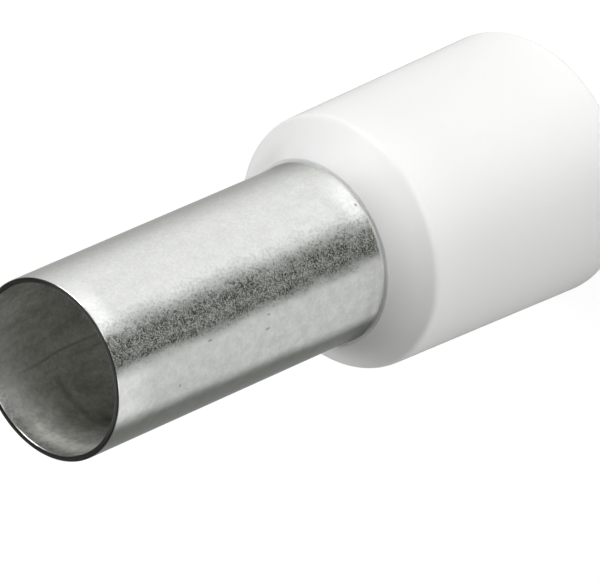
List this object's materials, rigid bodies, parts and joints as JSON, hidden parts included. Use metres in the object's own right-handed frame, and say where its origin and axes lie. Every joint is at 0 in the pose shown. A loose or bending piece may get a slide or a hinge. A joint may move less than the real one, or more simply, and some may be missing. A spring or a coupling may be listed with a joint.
{
  "type": "wire ferrule",
  "caption": "Insulated end sleeve for stranded wire: a thin tinned tube with a flared root, gripped by a tapered white plastic collar with a funnel entry.",
  "frame": {"origin": "centre of the collar's open rim, where the insulated wire goes in", "axes": "+Z along the common axis of the collar and the sleeve, towards the sleeve's mouth; round about Z, so X and Y are free"},
  "size_m": [0.0092, 0.0092, 0.0229],
  "materials": {
    "tinned_copper": "satin tin plate with a fine grain",
    "white_plastic": "smooth moulded, slightly translucent white"
  },
  "bodies": {
    "root": {"sleeve": "tinned_copper", "collar": "white_plastic"}
  },
  "joints": []
}
